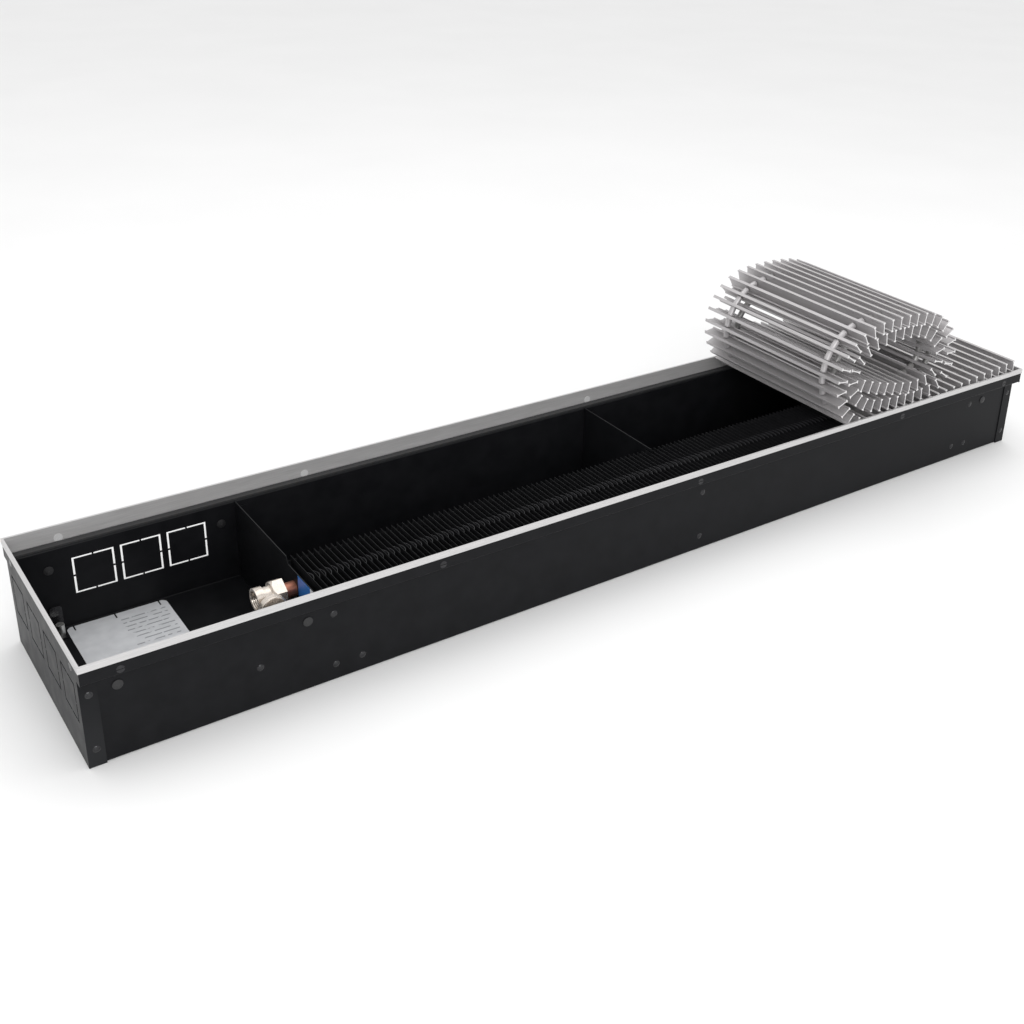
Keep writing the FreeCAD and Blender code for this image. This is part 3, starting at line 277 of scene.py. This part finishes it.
def past(material, axis, place):
    """1 where the object coordinate along an axis is greater than a place in metres, else 0."""
    tree = material.node_tree
    coordinates = tree.nodes.new("ShaderNodeTexCoord")
    split = tree.nodes.new("ShaderNodeSeparateXYZ")
    over = tree.nodes.new("ShaderNodeMath")
    over.operation = "GREATER_THAN"
    over.inputs[1].default_value = place
    tree.links.new(coordinates.outputs["Object"], split.inputs["Vector"])
    tree.links.new(split.outputs[axis], over.inputs[0])
    return over.outputs["Value"]


def dull(material, factor, metallic):
    """Change the metalness to another value where factor is 1."""
    tree = material.node_tree
    shader = tree.nodes["Principled BSDF"]
    span = tree.nodes.new("ShaderNodeMapRange")
    span.inputs["To Min"].default_value = shader.inputs["Metallic"].default_value
    span.inputs["To Max"].default_value = metallic
    tree.links.new(factor, span.inputs["Value"])
    tree.links.new(span.outputs["Result"], shader.inputs["Metallic"])


copper = new_finish("drawn_copper", (0.40, 0.17, 0.11), 0.8, 0.4)
copper_stain = grain(copper, 160.0, stretch=(4.0, 1.0, 1.0))
mix_colour(copper, copper_stain, (0.26, 0.10, 0.07), (0.46, 0.20, 0.13))
sprayed = past(copper, "X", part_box("partition_inlet")[0].x)
cover(copper, sprayed, (0.005, 0.005, 0.006))
dull(copper, sprayed, 0.0)
vary_roughness(copper, copper_stain, 0.34, 0.5)
emboss(copper, grain(copper, 1800.0, stretch=(30.0, 1.0, 1.0)), 0.00002, 0.5)
dress(copper, "flow_tube", "return_tube", "return_bend")

# ------------------------------------------------------------------ pipe fittings
# Nickel-plated brass: a union nut on each tube, the flow fitting with its air vent and the
# return valve with its cap. The plating is bright and warm, with faint turning marks.

nickel = new_finish("nickel_plate", (0.66, 0.60, 0.54), 0.75, 0.26)
nickel_cloud = grain(nickel, 300.0)
mix_colour(nickel, nickel_cloud, (0.58, 0.52, 0.46), (0.72, 0.66, 0.60))
vary_roughness(nickel, nickel_cloud, 0.2, 0.34)
emboss(nickel, grain(nickel, 2500.0), 0.00002, 0.4)
dress(nickel, "flow_nut", "return_nut", "flow_fitting", "return_valve", "valve_cap", "vent_screw")


def port_thread(name, port_face, y, z):
    """The female thread's crests in a pipe port, as one surface of revolution about X.

    Along the axis the radius follows a triangle wave between the bore and the bore less the
    crest; the surface closes on itself through a cylinder just inside the bore.
    """
    bore, crest, pitch, turns, around = 0.00925, 0.0003, 0.0018, 4, 48
    skin, setback = 0.0001, 0.0004
    angle = np.linspace(0.0, 2.0 * np.pi, around, endpoint=False)
    step = np.arange(2 * turns + 1)
    radius = np.append(bore - skin - crest * (step % 2), [bore, bore])
    depth = np.append(step * pitch / 2, [step[-1] * pitch / 2, 0.0])
    rings = np.empty((around, len(radius), 3))
    rings[..., 0] = port_face + setback + depth
    rings[..., 1] = y + radius * np.cos(angle)[:, None]
    rings[..., 2] = z + radius * np.sin(angle)[:, None]
    number = np.arange(around * len(radius)).reshape(around, len(radius))
    turned = np.roll(number, -1, axis=0)
    faces = np.stack([number, turned, np.roll(turned, -1, axis=1), np.roll(number, -1, axis=1)],
                     axis=-1)
    mesh = bpy.data.meshes.new(name)
    mesh.from_pydata(rings.reshape(-1, 3).tolist(), [], faces.reshape(-1, 4).tolist())
    mesh.update()
    thing = bpy.data.objects.new(name, mesh)
    bpy.context.scene.collection.objects.link(thing)
    thing.data.materials.append(nickel)
    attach(thing, "trough")


tube_height = (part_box("return_tube")[0].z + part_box("return_tube")[1].z) / 2
for side, body in (("flow", "flow_fitting"), ("return", "return_valve")):
    tube_low, tube_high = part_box(side + "_tube")
    port_thread(side + "_port_thread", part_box(body)[0].x, (tube_low.y + tube_high.y) / 2,
                tube_height)

# ------------------------------------------------------------------ grille
# Extruded aluminium slats with a rounded flange along each edge, threaded on two springs and
# kept apart by spacer sleeves. Natural anodised; the ends are sawn and brighter.

slats = new_finish("slat_aluminium", (0.48, 0.465, 0.47), 0.45, 0.42)
slat_lines = grain(slats, 2400.0, stretch=(1.0, 80.0, 1.0), detail=2.0)
mix_colour(slats, slat_lines, (0.44, 0.425, 0.43), (0.52, 0.505, 0.51))
vary_roughness(slats, slat_lines, 0.36, 0.5)
half_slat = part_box("grille_flat_slats")[1].y
sawn_from, sawn_to = half_slat - 0.0004, half_slat - 0.0001
sawn = (0.70, 0.69, 0.69)
cover(slats, blend(slats, sawn_from, sawn_to, "Y"), sawn)
cover(slats, blend(slats, -sawn_from, -sawn_to, "Y"), sawn)
emboss(slats, slat_lines, 0.00002, 0.5)
dress(slats, "grille_flat_slats", "grille_roll_slats")
links = sorted(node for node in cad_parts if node.startswith("grille_link_"))
dress(slats, *links)

sleeve = new_finish("spacer_sleeve", (0.40, 0.39, 0.38), 0.4, 0.36)
sleeve_cloud = grain(sleeve, 400.0)
mix_colour(sleeve, sleeve_cloud, (0.24, 0.235, 0.23), (0.32, 0.315, 0.31))
vary_roughness(sleeve, sleeve_cloud, 0.28, 0.42)
emboss(sleeve, grain(sleeve, 1600.0), 0.00002, 0.4)
dress(sleeve, "grille_flat_sleeves", "grille_roll_sleeves")

wire = new_finish("spring_wire", (0.56, 0.55, 0.54), 1.0, 0.3)
wire_grain = grain(wire, 1200.0)
mix_colour(wire, wire_grain, (0.48, 0.47, 0.46), (0.62, 0.61, 0.60))
vary_roughness(wire, wire_grain, 0.24, 0.4)
dress(wire, "grille_flat_springs", "grille_roll_springs")

strip = new_finish("damping_strip", (0.015, 0.015, 0.016), 0.0, 0.7)
strip_grain = grain(strip, 900.0)
mix_colour(strip, strip_grain, (0.012, 0.012, 0.013), (0.022, 0.022, 0.023))
vary_roughness(strip, strip_grain, 0.62, 0.8)
emboss(strip, strip_grain, 0.0001, 0.5)
dress(strip, "ledge_strips")

# ------------------------------------------------------------------ card and sticker
# A loose data card of silver-white coated board lies on the floor of the connection chamber, and
# a film sticker with a blue field is on the inlet partition. Their print is plain bars.



def arithmetic(material, operation, first, second):
    """One step of arithmetic on two sockets or numbers."""
    tree = material.node_tree
    step = tree.nodes.new("ShaderNodeMath")
    step.operation = operation
    for place, term in enumerate((first, second)):
        if isinstance(term, float):
            step.inputs[place].default_value = term
        else:
            tree.links.new(term, step.inputs[place])
    return step.outputs["Value"]


def printed_rows(material, axis, low_place, pitch, rows, along_axis, start, end):
    """1 on straight printed rows, else 0: rows a pitch apart along one axis, each a quarter of
    the pitch thick, that run along the other axis from start to end with gaps like words."""
    tree = material.node_tree
    coordinates = tree.nodes.new("ShaderNodeTexCoord")
    split = tree.nodes.new("ShaderNodeSeparateXYZ")
    tree.links.new(coordinates.outputs["Object"], split.inputs["Vector"])
    row = arithmetic(material, "SUBTRACT", split.outputs[axis], low_place)
    row = arithmetic(material, "DIVIDE", row, pitch)
    ink = arithmetic(material, "LESS_THAN", arithmetic(material, "FRACT", row, 0.0), 0.25)
    for place, operation, limit in ((row, "GREATER_THAN", 0.0), (row, "LESS_THAN", float(rows)),
                                    (split.outputs[along_axis], "GREATER_THAN", start),
                                    (split.outputs[along_axis], "LESS_THAN", end)):
        ink = arithmetic(material, "MULTIPLY", ink, arithmetic(material, operation, place, limit))
    words = arithmetic(material, "GREATER_THAN", grain(material, 260.0, detail=0.0), 0.42)
    return arithmetic(material, "MULTIPLY", ink, words)


card = new_finish("card_board", (0.62, 0.63, 0.65), 0.1, 0.45)
card_cloud = grain(card, 90.0)
mix_colour(card, card_cloud, (0.58, 0.59, 0.61), (0.66, 0.67, 0.69))
card_low, card_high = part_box("data_card")
card_middle = (card_low.x + card_high.x) / 2
card_print = printed_rows(card, "Y", card_low.y + 0.055, 0.007, 11,
                          "X", card_middle, card_high.x - 0.005)
cover(card, card_print, (0.30, 0.31, 0.33))
vary_roughness(card, card_cloud, 0.4, 0.52)
emboss(card, grain(card, 1500.0), 0.00002, 0.4)
dress(card, "data_card")

film = new_finish("sticker_film", (0.75, 0.77, 0.80), 0.0, 0.3)
film_cloud = grain(film, 120.0)
mix_colour(film, film_cloud, (0.72, 0.74, 0.78), (0.80, 0.82, 0.85))
film_low, film_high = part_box("flow_sticker")
field_edge = film_low.y + 0.45 * (film_high.y - film_low.y)
film_print = printed_rows(film, "Z", film_low.z + 0.004, 0.005, 5,
                          "Y", film_low.y + 0.003, field_edge - 0.003)
cover(film, film_print, (0.25, 0.26, 0.28))
cover(film, past(film, "Y", field_edge), (0.03, 0.16, 0.48))
vary_roughness(film, film_cloud, 0.25, 0.38)
dress(film, "flow_sticker")

# ------------------------------------------------------------------ levelling feet
# Folded black brackets stand in the corners of the trough, each with a slotted zinc-plated bolt
# through its foot that levels the trough on the floor below.

zinc = new_finish("zinc_plate", (0.62, 0.62, 0.60), 1.0, 0.36)
zinc_cloud = grain(zinc, 260.0)
mix_colour(zinc, zinc_cloud, (0.54, 0.54, 0.52), (0.70, 0.70, 0.68))
vary_roughness(zinc, zinc_cloud, 0.28, 0.46)
emboss(zinc, grain(zinc, 1400.0), 0.00003, 0.4)
dress(zinc, "foot_bolt_1", "foot_bolt_2", "foot_bolt_3", "foot_bolt_4")
dress(fastener, "foot_brackets")

# ------------------------------------------------------------------ studio
# A pale floor that runs on to a pale background, under a large overhead softbox and a front
# light. The camera stands at the front left corner and looks down along the trough.

floor_mesh = bpy.data.meshes.new("studio_floor")
reach = 30.0
corners = [(-reach, -reach, 0.0), (reach, -reach, 0.0), (reach, reach, 0.0), (-reach, reach, 0.0)]
floor_mesh.from_pydata(corners, [], [(0, 1, 2, 3)])
floor = bpy.data.objects.new("studio_floor", floor_mesh)
floor.location.z = cad_low.z - 0.0005
bpy.context.scene.collection.objects.link(floor)
paper = new_finish("studio_paper", (0.86, 0.86, 0.86), 0.0, 0.8)
mix_colour(paper, grain(paper, 3.0), (0.85, 0.85, 0.85), (0.87, 0.87, 0.87))
floor_mesh.materials.append(paper)

world = bpy.data.worlds.new("studio_air")
world.use_nodes = True
world.node_tree.nodes["Background"].inputs["Color"].default_value = (1.0, 1.0, 1.0, 1.0)
world.node_tree.nodes["Background"].inputs["Strength"].default_value = 0.95
bpy.context.scene.world = world


def softbox(name, place, target, width, height, watts):
    """A rectangular light at a place, turned towards a target."""
    light = bpy.data.lights.new(name, "AREA")
    light.shape = "RECTANGLE"
    light.size = width
    light.size_y = height
    light.energy = watts
    lamp = bpy.data.objects.new(name, light)
    lamp.location = place
    lamp.rotation_euler = (Vector(target) - Vector(place)).to_track_quat("-Z", "Y").to_euler()
    bpy.context.scene.collection.objects.link(lamp)


softbox("overhead", (0.2, 0.3, 2.2), (0.0, 0.0, 0.0), 2.4, 1.6, 14.0)
softbox("front", (-0.7, -2.2, 1.2), (0.0, 0.0, 0.1), 1.6, 1.2, 26.0)

lens = bpy.data.cameras.new("camera")
lens.lens = 45.69
lens.sensor_width = 36.0
lens.shift_x = -0.0891
lens.shift_y = -0.1140
lens.clip_start = 0.05
lens.clip_end = 200.0
camera = bpy.data.objects.new("camera", lens)
right = Vector((0.80705, -0.58911, 0.04029))
down = Vector((-0.21084, -0.35122, -0.91224))
ahead = Vector((0.55156, 0.72773, -0.40766))
turn = Matrix((right, -down, -ahead)).transposed()
camera.matrix_world = Matrix.Translation((-0.78646, -1.04617, 0.74695)) @ turn.to_4x4()
bpy.context.scene.collection.objects.link(camera)
bpy.context.scene.camera = camera
bpy.context.scene.view_settings.view_transform = "Standard"
